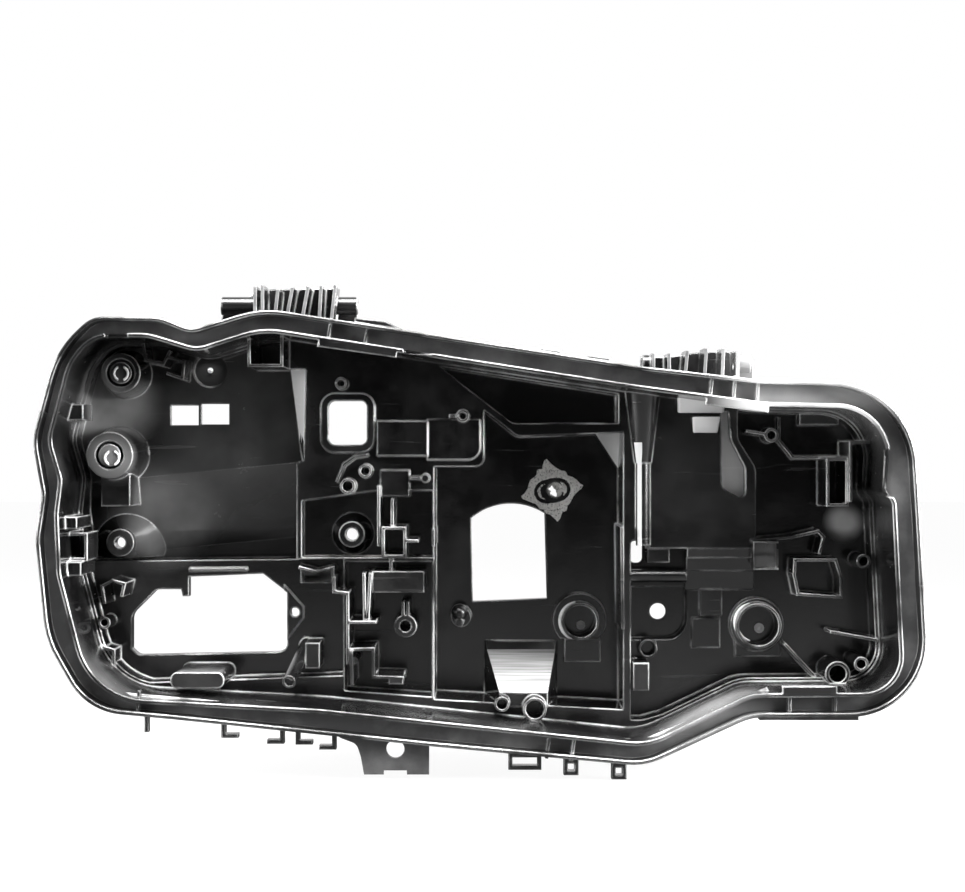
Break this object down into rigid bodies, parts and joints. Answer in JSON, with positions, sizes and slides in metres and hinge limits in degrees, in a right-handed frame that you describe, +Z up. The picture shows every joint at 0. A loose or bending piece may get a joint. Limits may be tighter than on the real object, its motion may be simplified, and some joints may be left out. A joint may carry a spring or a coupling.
{
  "type": "headlamp back housing",
  "caption": "Deep stepped tray that carries a car headlamp's inner parts, with a glue channel round its open front and fixing points outside.",
  "frame": {"origin": "centre of the fixing hole in the lower tab, at mid thickness", "axes": "+Z up as fitted in a car, the open front faces -Y, +X along the long side to the right in the front view"},
  "size_m": [0.5361, 0.1166, 0.2995],
  "materials": {
    "black_plastic": "satin to glossy moulded black polypropylene",
    "grey_felt": "torn felt membrane patch"
  },
  "bodies": {
    "root": {"housing": "black_plastic", "vent_patch": "grey_felt"}
  },
  "joints": []
}
